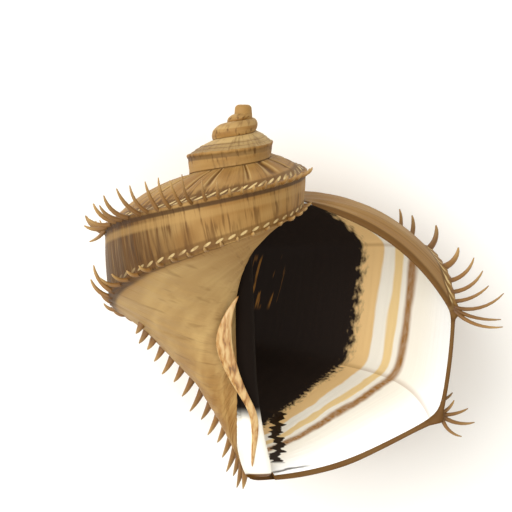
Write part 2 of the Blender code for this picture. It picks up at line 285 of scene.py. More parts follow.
class Bench:
    """Mesh work by operators, as by hand."""

    @staticmethod
    def deselect() -> None:
        """Deselects every object."""
        for item in bpy.context.view_layer.objects:
            item.select_set(False)

    @staticmethod
    def pick(*pieces: bpy.types.Object) -> bpy.types.Object:
        """Selects only these pieces and makes the first one active."""
        Bench.deselect()
        for piece in pieces:
            piece.select_set(True)
        bpy.context.view_layer.objects.active = pieces[0]
        return pieces[0]

    @staticmethod
    @contextmanager
    def edit(piece: bpy.types.Object) -> Iterator[bpy.types.Object]:
        """Opens a piece in edit mode with nothing selected, and closes it again."""
        Bench.pick(piece)
        bpy.ops.object.mode_set(mode="EDIT")
        bpy.ops.mesh.select_all(action="DESELECT")
        try:
            yield piece
        finally:
            bpy.ops.object.mode_set(mode="OBJECT")

    @staticmethod
    def panel(name: str, points: np.ndarray, maps: dict[str, np.ndarray]) -> bpy.types.Object:
        """Bends a grid into place.

        Args:
            name: the name of the new piece.
            points: where the grid's corners go, rows by columns by three.
            maps: UV maps, each as rows by columns by two.

        Returns:
            The bent grid.
        """
        rows, columns = points.shape[:2]
        Bench.deselect()
        bpy.ops.mesh.primitive_grid_add(x_subdivisions=columns - 1, y_subdivisions=rows - 1, size=2.0,
                                        calc_uvs=False)
        piece = bpy.context.object
        piece.name = name
        mesh = piece.data
        flat = np.empty(len(mesh.vertices) * 3)
        mesh.vertices.foreach_get("co", flat)
        flat = flat.reshape(-1, 3)
        order = np.lexsort((flat[:, 0], np.round(flat[:, 1], 6)))
        flat[order] = points.reshape(-1, 3)
        mesh.vertices.foreach_set("co", flat.ravel())
        rank = np.empty(len(order), dtype=int)
        rank[order] = np.arange(len(order))
        corners = np.empty(len(mesh.loops), dtype=int)
        mesh.loops.foreach_get("vertex_index", corners)
        for title, values in maps.items():
            layer = mesh.uv_layers.new(name=title)
            layer.data.foreach_set("uv", values.reshape(-1, 2)[rank[corners]].ravel())
        mesh.update()
        return piece

    @staticmethod
    def join(name: str, pieces: list[bpy.types.Object]) -> bpy.types.Object:
        """Joins pieces into one object with this name."""
        whole = Bench.pick(*pieces)
        bpy.ops.object.join()
        whole.name = name
        whole.data.name = name
        return whole

    @staticmethod
    def sew(piece: bpy.types.Object, seam: float) -> None:
        """Merges the seams of joined panels, fills what is open and turns the faces outward."""
        with Bench.edit(piece):
            bpy.ops.mesh.select_all(action="SELECT")
            bpy.ops.mesh.remove_doubles(threshold=seam)
            bpy.ops.mesh.select_all(action="DESELECT")
            bpy.ops.mesh.select_non_manifold(extend=False, use_wire=False, use_multi_face=False,
                                             use_non_contiguous=False, use_verts=False)
            bpy.ops.mesh.fill_holes(sides=0)
            piece.active_material_index = len(piece.material_slots) - 1
            bpy.ops.object.material_slot_assign()
            bpy.ops.mesh.quads_convert_to_tris(ngon_method="BEAUTY")
            bpy.ops.mesh.select_all(action="SELECT")
            bpy.ops.mesh.normals_make_consistent(inside=False)

    @staticmethod
    def apply(piece: bpy.types.Object, kind: str, **settings: object) -> None:
        """Adds a modifier, sets it and applies it."""
        Bench.pick(piece)
        modifier = piece.modifiers.new(kind.lower(), kind)
        for name, value in settings.items():
            setattr(modifier, name, value)
        bpy.ops.object.modifier_apply(modifier=modifier.name)

    @staticmethod
    def settle(piece: bpy.types.Object) -> None:
        """Bakes a piece's place into its mesh."""
        Bench.pick(piece)
        bpy.ops.object.transform_apply(location=True, rotation=True, scale=True)

    @staticmethod
    def smooth(piece: bpy.types.Object) -> None:
        """Shades a piece smooth."""
        Bench.pick(piece)
        bpy.ops.object.shade_smooth()

    @staticmethod
    def register(piece: bpy.types.Object) -> None:
        """Lets a piece ride on the shell's body in place of the solid."""
        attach(piece, BODY)
        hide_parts(NODE)
        log.info("%s: %d faces", piece.name, len(piece.data.polygons))


# Shader sheets


class Wire:
    """One output of a shader node, on which sums can be written."""

    def __init__(self, sheet: "Sheet", socket: bpy.types.NodeSocket) -> None:
        """Holds the socket and the sheet it is on."""
        self.sheet = sheet
        self.socket = socket

    def reckon(self, operation: str, other: "Value") -> "Wire":
        """Returns the outcome of an operation with this wire first and another value second."""
        return self.sheet.sum(operation, self, other)

    __add__ = __radd__ = partialmethod(reckon, "ADD")
    __mul__ = __rmul__ = partialmethod(reckon, "MULTIPLY")
    __sub__ = partialmethod(reckon, "SUBTRACT")

    def __rsub__(self, other: "Value") -> "Wire":
        """Returns the difference from a number."""
        return self.sheet.sum("SUBTRACT", other, self)

    def rise(self, low: float, high: float) -> "Wire":
        """Returns a smooth step from 0 at low to 1 at high, or from 1 to 0 if low is the greater."""
        ends = (0.0, 1.0) if high > low else (1.0, 0.0)
        return self.sheet.node("ShaderNodeMapRange", {"interpolation_type": "SMOOTHSTEP"},
                               {0: self, 1: min(low, high), 2: max(low, high), 3: ends[0], 4: ends[1]})

    def band(self, low: float, high: float, edge: float) -> "Wire":
        """Returns 1 between low and high, with soft edges."""
        return self.rise(low - edge, low + edge) * self.rise(high + edge, high - edge)


Value = Union[Wire, float]
Coats = list[tuple[Wire, Colour]]


class Sheet:
    """The nodes of one material."""

    def __init__(self, name: str) -> None:
        """Makes the material with its shader alone."""
        self.material = bpy.data.materials.new(name)
        self.material.use_nodes = True
        self.tree = self.material.node_tree
        self.shader = self.tree.nodes["Principled BSDF"]

    def feed(self, socket: bpy.types.NodeSocket, value: object) -> None:
        """Links a wire to a socket, or sets the socket's own value."""
        if isinstance(value, Wire):
            self.tree.links.new(value.socket, socket)
        else:
            socket.default_value = value

    def node(self, kind: str, settings: dict = None, feeds: dict = None, output: Union[int, str] = 0) -> Wire:
        """Adds a node.

        Args:
            kind: the node's type.
            settings: its settings.
            feeds: values or wires by input.
            output: which output to return.

        Returns:
            The output as a wire.
        """
        node = self.tree.nodes.new(kind)
        for name, value in (settings or {}).items():
            setattr(node, name, value)
        for key, value in (feeds or {}).items():
            self.feed(node.inputs[key], value)
        return Wire(self, node.outputs[output])

    def sum(self, operation: str, first: Value, second: Value) -> Wire:
        """Adds a Math node."""
        return self.node("ShaderNodeMath", {"operation": operation}, {0: first, 1: second})

    def mix(self, factor: Value, first: object, second: object) -> Wire:
        """Mixes two colours."""
        return self.node("ShaderNodeMix", {"data_type": "RGBA"}, {0: factor, 6: first, 7: second}, 2)

    def coat(self, colour: Wire, coats: Coats) -> Wire:
        """Lays coats over a colour, each as strong as its factor."""
        for factor, coat in coats:
            colour = self.mix(factor, colour, coat)
        return colour

    def split(self, vector: Wire) -> tuple[Wire, Wire, Wire]:
        """Returns the three parts of a vector."""
        first = self.node("ShaderNodeSeparateXYZ", feeds={0: vector})
        outputs = first.socket.node.outputs
        return first, Wire(self, outputs[1]), Wire(self, outputs[2])

    def uv(self, title: str) -> tuple[Wire, Wire]:
        """Returns the two parts of a UV map."""
        across, along, _ = self.split(self.node("ShaderNodeUVMap", {"uv_map": title}))
        return across, along

    def spots(self, across: Value, along: Value, third: Value, detail: float = 2.0) -> Wire:
        """Returns a noise from 0 to 1, read at three values."""
        place = self.node("ShaderNodeCombineXYZ", feeds={0: across, 1: along, 2: third})
        return self.node("ShaderNodeTexNoise", feeds={"Vector": place, "Scale": 1.0, "Detail": detail})

    def finish(self, colour: object, roughness: object, height: Wire = None, depth: float = 0.1 * MM,
               **constants: float) -> bpy.types.Material:
        """Feeds the shader.

        Args:
            colour: the base colour.
            roughness: the roughness.
            height: a relief from 0 to 1, if there is one.
            depth: how high the relief's 1 is.
            constants: other values of the shader, with underscores for spaces.

        Returns:
            The material.
        """
        self.feed(self.shader.inputs["Base Color"], colour)
        self.feed(self.shader.inputs["Roughness"], roughness)
        if height is not None:
            bump = self.node("ShaderNodeBump", feeds={"Strength": 1.0, "Distance": depth, "Height": height})
            self.feed(self.shader.inputs["Normal"], bump)
        for name, value in constants.items():
            self.feed(self.shader.inputs[name.replace("_", " ")], value)
        return self.material


class SkinSheet(Sheet):
    """The sheet of the outer skin, with the wires that its coats share."""

    def __init__(self) -> None:
        """Reads both UV maps, and makes the noises, the masks and the twist of the rope."""
        super().__init__("horny_skin")
        self.length, self.place = self.uv("growth")
        self.distance, self.turn = self.uv("section")
        self.clouds = self.spots(self.length * 0.16, self.place * 1.3, 3.0)
        self.fine = self.spots(self.length * 2.6, self.place * 0.9, 0.0, 3.0)
        self.broad = self.spots(self.length * 0.8, self.place * 0.7, 7.0)
        self.grown = self.turn.rise(2.3, 1.2)
        self.wall = self.place.band(1.02, 1.98, 0.03)
        self.ramp = self.place.rise(1.0, 0.94)
        slanted = self.turn - (self.place - 1.0) * 0.05
        self.left = self.turn.rise(0.34, 0.42) * slanted.rise(0.66, 0.52)
        phase = self.length * (2.0 * math.pi / TWIST) + self.distance * TWIST_SLANT
        self.twist = self.sum("SINE", phase, 0.0)

    def beads(self, off: Wire) -> Wire:
        """Returns painted highlights on the crests of the rope, lens-shaped spots one to each twist, where
        off lies between -1 and 1.
        """
        return (self.twist - off * off).rise(-0.3, 0.4)

    def groove(self) -> Wire:
        """Returns the distance from the nearest fold below the suture, 0 on it and 0.5 half-way."""
        warp = self.length
        for reach, rate, start in FOLD_WAVES:
            warp = warp + reach * self.sum("SINE", self.length * rate + start, 0.0)
        return self.sum("PINGPONG", warp * (1.0 / FOLD_SPACING) - self.place * FOLD_SLANT, 0.5)


@dataclass(frozen=True)
class HornySkin:
    """The tan outer skin, with brown growth lines, a dark line of painted shade under the upper keel, and
    more painted shade and highlights.
    """

    tan: Colour = shade("8B642F")
    # light is the lighter tone of the skin, and also paints the highlights on the cells between the folds.
    light: Colour = shade("A38049")
    # pale is the pale tone of the base, and also paints highlights on the spire's ramps, beside the folds and
    # on the ropes.
    pale: Colour = shade("D2B880")
    brown: Colour = shade("5A390C")
    # dark paints only shade: on the left side, under the lower keel, under the upper keel and in the suture.
    dark: Colour = shade("3E2507")
    upper_rope: float = -0.7
    upper_rope_half: float = 0.42
    lower_rope: float = 1.9
    lower_rope_half: float = 0.04
    relief_depth: float = 0.12 * MM

    def ages(self, skin: SkinSheet) -> Coats:
        """Returns painted highlight on the ramps of the early whorls, the pale base and the brown clouds."""
        place, turn = skin.place, skin.turn
        # Painted highlight on the upward-facing ramps of the spire's whorls.
        early = turn.rise(1.0, 1.3) * (0.5 - 0.3 * turn.rise(1.9, 2.4))
        return [
            (early * skin.ramp * turn.rise(3.9, 3.5), self.pale),
            (place.rise(2.1, 2.5) * turn.band(0.36, 0.7, 0.1) * 0.25, self.pale),
            (skin.broad.rise(0.56, 0.72) * (0.3 + 0.2 * skin.wall), self.brown),
        ]

    def shade_and_stains(self, skin: SkinSheet) -> Coats:
        """Returns painted shade on the left side and under the lower keel, the growth lines and the fuzz
        above the upper keel.
        """
        place, turn, fine, wall = skin.place, skin.turn, skin.fine, skin.wall
        # Painted shade toward the left margin of the wall, made uneven by noise.
        left_shade_strength = 0.55 + 0.3 * skin.broad.rise(0.4, 0.6) + 0.3 * fine.rise(0.42, 0.58)
        left_side = skin.left * place.rise(2.25, 1.95) * place.rise(0.9, 1.0)
        # Painted shade in a patch under the left end of the lower keel.
        corner = turn.band(0.42, 0.55, 0.04) * place.band(1.95, 2.22, 0.07)
        groups = skin.broad.rise(0.42, 0.56) + skin.left
        streaks = fine.rise(0.5, 0.6) * wall * groups * (0.35 + 0.65 * skin.distance.rise(6.0, 1.0))
        flecks = fine.rise(0.52, 0.66) * (1.0 - wall) * place.rise(2.8, 2.0)
        fuzz = place.band(0.7, 0.93, 0.06) * turn.band(0.54, 0.74, 0.05) * fine.rise(0.4, 0.55)
        return [
            (left_shade_strength * left_side, self.dark),
            (corner * 0.85, self.dark),
            (streaks * 0.85, self.brown),
            (flecks * 0.4, self.brown),
            (fuzz * 0.85, self.brown),
        ]

    def cells(self, skin: SkinSheet) -> Coats:
        """Returns painted highlights on the cells between the folds, painted shade in the folds, the threads
        of the early whorls and painted shade in the suture.
        """
        place, turn = skin.place, skin.turn
        groove = skin.groove()
        cells = place.rise(0.75, 0.5) * turn.band(0.2, 1.2, 0.1)
        threads = place.band(0.5, 0.56, 0.02) + place.band(0.74, 0.8, 0.02)
        return [
            # Painted highlights on the cells and beside each fold, and painted shade in each fold's groove.
            (groove.rise(0.2, 0.4) * cells * place.rise(0.3, 0.05) * 0.6, self.light),
            (groove.band(0.1, 0.16, 0.03) * cells * 0.3, self.pale),
            (groove.rise(0.09, 0.03) * cells * 0.85, self.brown),
            (threads * turn.rise(0.85, 1.05) * skin.grown * 0.9, self.brown),
            # Painted shade in the suture.
            (place.rise(0.06, 0.0) * 0.8, self.dark),
        ]

    def keels(self, skin: SkinSheet) -> Coats:
        """Returns the rope of both keels, the lines beside them with a line of painted shade under the upper
        keel, and the brown edge of the rim.
        """
        place, turn, distance = skin.place, skin.turn, skin.distance
        front = turn.band(0.55, 1.0, 0.1)
        uneven = 0.3 + 0.7 * skin.broad.rise(0.35, 0.55)
        # Painted highlights on the crests of both ropes.
        lower = skin.beads((place - self.lower_rope) * (1.0 / self.lower_rope_half))
        upper = skin.beads((distance - self.upper_rope) * (1.0 / self.upper_rope_half)) * turn.rise(1.3, 1.0)
        under = place.band(1.94, 1.99, 0.01) + place.band(2.03, 2.12, 0.02)
        return [
            (distance.band(0.95, 1.7, 0.2) * skin.wall * 0.5, self.light),
            # Painted shade under the cord of the upper keel.
            (distance.band(0.15, 0.62, 0.1) * skin.grown * 0.85, self.dark),
            (place.band(1.8, 1.97, 0.03) * front * 0.6, self.brown),
            (lower * front * uneven * 0.75, self.pale),
            (distance.band(-1.5, 0.2, 0.2) * 0.75 * skin.grown * skin.ramp, self.brown),
            (upper * uneven * 0.9, self.pale),
            (under * 0.6, self.brown),
            (skin.length.rise(0.4, 0.1) * 0.85, self.brown),
        ]

    def make(self) -> bpy.types.Material:
        """Builds the material."""
        skin = SkinSheet()
        colour = skin.mix(skin.clouds.rise(0.35, 0.75), self.tan, self.light)
        coats = self.ages(skin) + self.shade_and_stains(skin) + self.cells(skin) + self.keels(skin)
        relief = skin.fine * 0.6 + skin.broad * 0.4
        return skin.finish(skin.coat(colour, coats), 0.6, relief, self.relief_depth, Specular_IOR_Level=0.25)


@dataclass(frozen=True)
class MouthGlaze:
    """The smooth inside of the mouth, cream at the lip, with tan bands, and dark brown painted shade deeper
    inside.
    """

    cream: Colour = shade("FDF6E6")
    white: Colour = shade("FFFEFA")
    yellow: Colour = shade("F4D498")
    peach: Colour = shade("F2CB8E")
    line: Colour = shade("9A6828")
    # The dark brown of the painted shade deep in the mouth.
    deep: Colour = shade("1A0D04")
    # Paints the canal's shadow beside the pillar, and a thin line along the lip.
    canal_shadow_and_lip_line: Colour = shade("241404")
    relief_depth: float = 0.05 * MM

    def bands(self, depth: Wire, place: Wire, ragged: Wire) -> Coats:
        """Returns the bands and the brown line, side by side with the lip, and a line of painted shade along
        each keel's groove.
        """
        return [
            (depth.band(0.074, 0.084, 0.0015), self.yellow),
            (depth.rise(0.096, 0.099), self.peach),
            (depth.band(0.057, 0.067, 0.003) * (0.65 + 0.5 * ragged), self.line),
            # Painted shade along the groove of each keel inside the mouth.
            (place.band(0.992, 1.008, 0.01) * 0.4, self.line),
            (place.band(1.992, 2.008, 0.01) * 0.4, self.line),
        ]

    def marks(self, sheet: Sheet, depth: Wire, inside: Wire) -> Coats:
        """Returns the marks beside the pillar.

        Args:
            sheet: the sheet.
            depth: the turns back from the lip.
            inside: 1 in the painted shade deep in the mouth.

        Returns:
            The jagged painted shadow of the canal, a dark line along the lip, and brown strokes deep in the
            mouth that stand for painted highlights on the parietal wall.
        """
        x, y, _ = sheet.split(sheet.node("ShaderNodeTexCoord", output="Object"))
        jagged = sheet.spots(x * 260.0, y * 2200.0, 1.0)
        strip = (x + (jagged - 0.5) * (3.6 * MM)).band(-2.5 * MM, -1.3 * MM, 0.1 * MM)
        lip = depth.band(0.006, 0.009, 0.0015) * x.band(-3.6 * MM, 1.4 * MM, 1.0 * MM)
        strokes = sheet.spots(x * 2000.0 + y * -600.0, y * 160.0, 9.0).rise(0.57, 0.63)
        patch = x.band(-4.6 * MM, -1.1 * MM, 0.3 * MM) * y.band(-2.4 * MM, 3.0 * MM, 0.5 * MM)
        return [
            # Painted shadow of the canal beside the pillar.
            (strip * y.band(-18.1 * MM, -13.0 * MM, 0.15 * MM), self.canal_shadow_and_lip_line),
            (lip * 0.9, self.canal_shadow_and_lip_line),
            (strokes * patch * inside * 0.8, self.line),
        ]

    def make(self) -> bpy.types.Material:
        """Builds the material."""
        sheet = Sheet("mouth_glaze")
        length, place = sheet.uv("growth")
        _, turn = sheet.uv("section")
        waver = sheet.spots(length * 0.3, place * 1.6, 0.0)
        ragged = sheet.spots(length * 1.6, place * 14.0, 5.0)
        depth = turn + (waver - 0.5) * 0.01
        # Painted shade deep in the mouth, with a ragged edge.
        inside = (depth + (ragged - 0.5) * 0.02).rise(0.112, 0.122)
        coats = self.bands(depth, place, ragged) + [(inside, self.deep)] + self.marks(sheet, depth, inside)
        colour = sheet.coat(sheet.mix(depth.rise(0.0, 0.05), self.white, self.cream), coats)
        relief = sheet.spots(length * 1.5, place * 0.6, 4.0)
        return sheet.finish(colour, 0.3 + inside * 0.5, relief, self.relief_depth,
                            Coat_Weight=0.2 - inside * 0.2, Specular_IOR_Level=0.3)


@dataclass(frozen=True)
class PillarGlaze:
    """The glaze of the pillar, with dark brown painted shade inside the mouth, and cream at the tip of the
    base.
    """

    # The dark brown of the painted shade inside the mouth.
    deep: Colour = shade("120802")
    cream: Colour = shade("FFFAEC")
    brown: Colour = shade("6B4410")
    dark_above: float = -11.6 * MM
    cream_below: float = -13.6 * MM
    brown_below: float = -19.0 * MM
    edge: float = 0.1 * MM

    def make(self) -> bpy.types.Material:
        """Builds the material."""
        sheet = Sheet("pillar_glaze")
        _, along, _ = sheet.split(sheet.node("ShaderNodeTexCoord", output="Object"))
        # Painted shade above, turning to cream toward the tip.
        tip = along.rise(self.dark_above, self.cream_below)
        colour = sheet.mix(tip, self.deep, self.cream)
        end = along.rise(self.brown_below + self.edge, self.brown_below - self.edge)
        colour = sheet.mix(end, colour, self.brown)
        return sheet.finish(colour, 0.85 - tip * 0.5, Specular_IOR_Level=0.15)


@dataclass(frozen=True)
class LipCallus:
    """The smooth tan glaze of the inner lip."""

    tan: Colour = shade("A6763A")
    light: Colour = shade("C6A46C")
    brown: Colour = shade("5E3B0D")

    def make(self) -> bpy.types.Material:
        """Builds the material."""
        sheet = Sheet("lip_callus")
        x, y, z = sheet.split(sheet.node("ShaderNodeTexCoord", output="Object"))
        grain = sheet.spots(x * 2600.0, y * 500.0, z * 2600.0)
        colour = sheet.mix(grain.rise(0.35, 0.6), self.light, self.tan)
        colour = sheet.mix(grain.rise(0.58, 0.68) * 0.7, colour, self.brown)
        return sheet.finish(colour, 0.35, grain, 0.06 * MM, Coat_Weight=0.15)


@dataclass(frozen=True)
class BristleHorn:
    """The horn of the bristles, brown at the root and paler toward the tip."""

    root: Colour = shade("5E3B0D")
    shaft: Colour = shade("875E27")
    tip: Colour = shade("AA864B")

    def make(self) -> bpy.types.Material:
        """Builds the material."""
        sheet = Sheet("bristle_horn")
        share, tone = sheet.uv("bristle")
        colour = sheet.mix(share.rise(0.0, 0.35), self.root, self.shaft)
        colour = sheet.mix(share.rise(0.4, 1.0), colour, self.tip)
        colour = sheet.mix(tone * 0.45, colour, self.root)
        return sheet.finish(colour, 0.5)


@dataclass(frozen=True)
class PaleFloor:
    """A plain pale floor."""

    colour: Colour = shade("F7F5F0")

    def make(self) -> bpy.types.Material:
        """Builds the material."""
        return Sheet("pale_floor").finish(self.colour, 0.9)


# The shell


@dataclass
class Relief:
    """The relief on the outside: cords on the keels, folds below the suture and growth ridges."""

    cord_height: float = 0.3 * MM
    cord_width: float = 0.5 * MM
    fold_depth: float = 0.2 * MM
    fold_width: float = 0.08
    ridge_height: float = 0.05 * MM
    thread_height: float = 0.12 * MM
    thread_width: float = 0.05
    twist_share: float = 0.25
    lower_cord_share: float = 0.7

    def height(self, length: np.ndarray, place: np.ndarray, distance: np.ndarray, below: np.ndarray,
               turn: np.ndarray, size: np.ndarray) -> np.ndarray:
        """Works out how far the surface stands out.

        Args:
            length: millimetres along the upper keel, back from the mouth.
            place: 0 at the suture, 1 and 2 at the keels, and more on the base.
            distance: distance below the upper keel, along the section.
            below: distance below the lower keel, along the section.
            turn: turns back from the mouth.
            size: the size of the section.

        Returns:
            The height above the plain surface.
        """
        scale = np.sqrt(size)
        cord = self.cord_height * scale
        width = self.cord_width * scale
        phase = length * 2.0 * math.pi / TWIST + distance / MM * TWIST_SLANT
        rope = 1.0 + self.twist_share * np.sin(phase)
        height = cord * np.exp(-(distance / width) ** 2) * rope
        height = height + self.lower_cord_share * cord * np.exp(-(below / width) ** 2)
        for level in THREAD_PLACES:
            thread = np.exp(-((place - level) / self.thread_width) ** 2)
            height = height + self.thread_height * scale * thread * smooth_step((turn - 0.8) / 0.3)
        height = height * (1.0 - 0.8 * smooth_step((turn - 1.8) / 0.9))
        warp = length + sum(reach * np.sin(length * rate + start) for reach, rate, start in FOLD_WAVES)
        fold = warp / FOLD_SPACING - FOLD_SLANT * place
        off = np.abs(fold - np.round(fold))
        on_ramp = smooth_step(place / 0.08) * smooth_step((0.7 - place) / 0.2)
        of_age = smooth_step((turn - 0.1) / 0.2) * smooth_step((1.3 - turn) / 0.3)
        height = height - self.fold_depth * np.exp(-(off / self.fold_width) ** 2) * on_ramp * of_age
        swell = np.sin(length * 2.1 + 1.5 * np.sin(length * 0.6) + 0.4 * place)
        height = height + self.ridge_height * swell * smooth_step(place / 0.1) * scale
        fade = smooth_step((0.98 - turn) / 0.1)
        return np.where(place >= 1.97, height * fade, height * smooth_step(place / 0.05))


@dataclass
class Coil:
    """The coiled shell with its open mouth, as one closed body."""

    law: GrowthLaw = field(default_factory=GrowthLaw)
    section: Section = field(default_factory=Section)
    relief: Relief = field(default_factory=Relief)
    rows_per_turn: int = 300
    turns: float = 4.0
    hollow_turns: float = 0.95
    rim_rows: int = 5
    lip_wall: float = 0.4 * MM
    inner_wall: float = 0.85 * MM
    wall_growth: float = 0.04
    lip_taper: float = 2.0 * MM
    corner_inset: float = 0.3
    corner_turns: float = 0.03
    corner_passes: int = 12
    pillar_columns: int = 40
    seam: float = 0.0015 * MM
    rest_wall: float = 0.35 * MM
    nub_radius: float = 1.0 * MM
    nub_top: float = 0.86 * MM
    nub_height: float = 1.75 * MM
    nub_bevel: float = 0.42 * MM

    def __post_init__(self) -> None:
        """Spaces the rows evenly along the upper keel of the first turn."""
        fine = np.linspace(0.0, 1.0, 4001)
        run = np.concatenate([[0.0], np.cumsum(self.law.size(0.5 * (fine[1:] + fine[:-1])) * np.diff(fine))])
        even = np.linspace(0.0, run[-1], self.rows_per_turn + 1)
        stops = np.interp(even, run, fine)[:-1]
        whole = np.concatenate([stops + turn for turn in range(math.ceil(self.turns) + 1)])
        self.rows = whole[:round(self.turns * self.rows_per_turn) + 1][:, None]
        steps = np.diff(self.rows[:, 0])
        middle = 0.5 * (self.rows[1:, 0] + self.rows[:-1, 0])
        along = self.law.size(middle) * steps * 2.0 * math.pi * self.section.keel_1[0] / MM
        self.lengths = np.concatenate([[0.0], np.cumsum(along)])[:, None]

    def raised(self, section: np.ndarray, place: np.ndarray, turn: np.ndarray, length: np.ndarray) -> tuple:
        """Adds the relief to a section.

        Args:
            section: radius, drop and lag, rows by columns by three.
            place: the place of each column.
            turn: the turn of each row.
            length: the length of each row.

        Returns:
            The raised section and each point's distance below the upper keel.
        """
        along, arc = slopes(section)
        upper = self.section.ramp_columns
        lower = upper + self.section.wall_columns
        distance = arc - arc[:, upper:upper + 1]
        below = arc - arc[:, lower:lower + 1]
        places = place[None, :] + 0.0 * turn
        size = self.law.size(turn)
        height = self.relief.height(length, places, distance, below, turn, size)
        result = section.copy()
        result[..., 0] += along[..., 1] * height
        result[..., 1] -= along[..., 0] * height
        return result, distance

    def maps(self, place: np.ndarray, turn: np.ndarray, length: np.ndarray, distance: np.ndarray) -> dict:
        """Returns the UV maps of a panel: length and place, and distance in millimetres and turn."""
        flat = np.zeros_like(distance)
        return {
            "growth": np.stack([length + flat, place[None, :] + flat], axis=-1),
            "section": np.stack([distance / MM, turn + flat], axis=-1),
        }

    def columns(self) -> np.ndarray:
        """Returns the place of each column, from the suture to the axis."""
        shares = (self.section.ramp_shares(), 1.0 + self.section.wall_shares()[1:],
                  2.0 + self.section.base_steps()[1:])
        return np.concatenate(shares)

    def outside(self, turn: np.ndarray) -> np.ndarray:
        """Returns the plain section from the suture to the axis at some turns."""
        parts = (self.section.ramp(self.law, turn), self.section.wall(self.law, turn)[:, 1:],
                 self.section.under(self.law, turn, self.section.base_steps())[:, 1:])
        return np.concatenate(parts, axis=1)

    def stand(self, section: np.ndarray, turn: np.ndarray, above: float = 0.0) -> np.ndarray:
        """Returns a section's points in space, pressed flat where they would go below a height."""
        points = self.law.stand(section, turn)
        points[..., 2] = np.maximum(points[..., 2], above)
        return points

    def build_whorls(self) -> list[bpy.types.Object]:
        """Builds the panels of the outside: all whorls to the lower keel, and the base."""
        place = self.columns()
        keel = self.section.ramp_columns + self.section.wall_columns
        count = self.rows_per_turn
        first = slice(0, count + 1)
        turn, length = self.rows[first], self.lengths[first]
        body, distance = self.raised(self.outside(turn), place, turn, length)
        spire_turn, spire_length = self.rows[count:], self.lengths[count:]
        spire = np.concatenate([self.section.ramp(self.law, spire_turn),
                                self.section.wall(self.law, spire_turn)[:, 1:]], axis=1)
        spire, spire_distance = self.raised(spire, place[:keel + 1], spire_turn, spire_length)
        whorls = np.concatenate([body[:-1, :keel + 1], spire])
        whorl_distance = np.concatenate([distance[:-1, :keel + 1], spire_distance])
        base = self.stand(body[:, keel:], turn)
        return [
            Bench.panel("whorls", self.stand(whorls, self.rows),
                        self.maps(place[:keel + 1], self.rows, self.lengths, whorl_distance)),
            Bench.panel("base", base, self.maps(place[keel:], turn, length, distance[:, keel:])),
        ]

    def parietal(self, turn: np.ndarray) -> np.ndarray:
        """Returns the wall of the mouth on the whorl before, from its corner to the pillar."""
        steps = self.section.base_steps()
        steps = steps[steps <= self.section.inner_base + 1e-9]
        inset = self.corner_inset * smooth_step((turn - 1.0) / self.corner_turns)
        rows = []
        for level, start in zip(turn[:, 0], inset[:, 0]):
            shifted = start + steps * (1.0 - start / steps[-1])
            rows.append(self.section.under(self.law, np.array([[level]]), shifted)[0])
        return np.array(rows)

    def inside(self, turn: np.ndarray) -> np.ndarray:
        """Works out the inner face of the outer lip and of the pillar.

        Args:
            turn: the turn of each row.

        Returns:
            The section from the mouth's corner along the lip and the pillar to the parietal wall.
        """
        outer = self.outside(turn)
        steps = self.section.base_steps()
        rim_end = self.section.ramp_columns + self.section.wall_columns + int(np.searchsorted(
            steps, self.section.rim_base - 1e-9))
        along, arc = slopes(outer)
        thick = self.lip_wall + (self.inner_wall - self.lip_wall) * (1.0 - np.exp(-turn / self.wall_growth))
        thick = thick * np.sqrt(self.law.size(turn))
        near = smooth_step(arc / self.lip_taper)
        thick = thick * (near + (1.0 - near) * smooth_step(turn / self.corner_turns))
        inner = outer.copy()
        inner[..., 0] -= along[..., 1] * thick
        inner[..., 1] += along[..., 0] * thick
        inner = inner[:, :rim_end + 1]
        for _ in range(self.corner_passes):
            inner[:, 1:-1] = 0.5 * inner[:, 1:-1] + 0.25 * (inner[:, :-2] + inner[:, 2:])
        wall = self.parietal(turn + 1.0)
        inner[:, 0] = wall[:, 0]
        pillar = self.law.grown(np.array(self.section.pillar), turn)
        pillar[..., 1] = np.array(self.section.pillar)[:, 1] * self.law.size(turn)
        guide = np.concatenate([inner[:, -1:], pillar, wall[:, -1:]], axis=1)
        curve = spline(guide, np.linspace(0.0, guide.shape[1] - 1.0, self.pillar_columns + 1))
        return np.concatenate([inner, curve[:, 1:]], axis=1)

    def build_hollow(self) -> list[bpy.types.Object]:
        """Builds the panels of the rim, of the inside of the lip and of the parietal wall."""
        count = round(self.hollow_turns * self.rows_per_turn)
        turn, length = self.rows[:count + 1], self.lengths[:count + 1]
        inner = self.inside(turn)
        place = self.columns()
        rim_end = inner.shape[1] - self.pillar_columns
        extra = place[rim_end - 1] + np.linspace(0.0, 3.0, self.pillar_columns + 1)[1:]
        inner_place = np.concatenate([place[:rim_end], extra])
        inner_points = self.stand(inner, turn, self.rest_wall)
        flat = np.zeros(inner.shape[:2])
        lining = Bench.panel("lining", inner_points, self.maps(inner_place, turn, length, flat + 9.0 * MM))
        body, distance = self.raised(self.outside(turn[:2]), place, turn[:2], length[:2])
        outer_points = self.law.stand(body, turn[:2])[:, :rim_end]
        forward = outer_points[0] - outer_points[1]
        forward /= np.linalg.norm(forward, axis=-1, keepdims=True)
        across = inner_points[0, :rim_end] - outer_points[0]
        half = 0.5 * np.linalg.norm(across, axis=-1, keepdims=True)
        angles = np.linspace(0.0, math.pi, self.rim_rows + 1)[:, None, None]
        rim_points = (outer_points[0] + across * 0.5 * (1.0 - np.cos(angles))
                      + forward * half * np.sin(angles))
        zero = np.zeros((self.rim_rows + 1, 1))
        rim = Bench.panel("rim", rim_points, self.maps(place[:rim_end], zero, zero,
                                                       distance[:1, :rim_end] + 0.0 * zero))
        wall_turn = turn + 1.0
        wall = self.parietal(wall_turn)
        wall_place = 5.0 + np.linspace(0.0, 1.0, wall.shape[1])
        parietal = Bench.panel("parietal", self.stand(wall, wall_turn, self.rest_wall),
                               self.maps(wall_place, turn + 0.13, length, np.zeros(wall.shape[:2])))
        return [rim, lining, parietal]

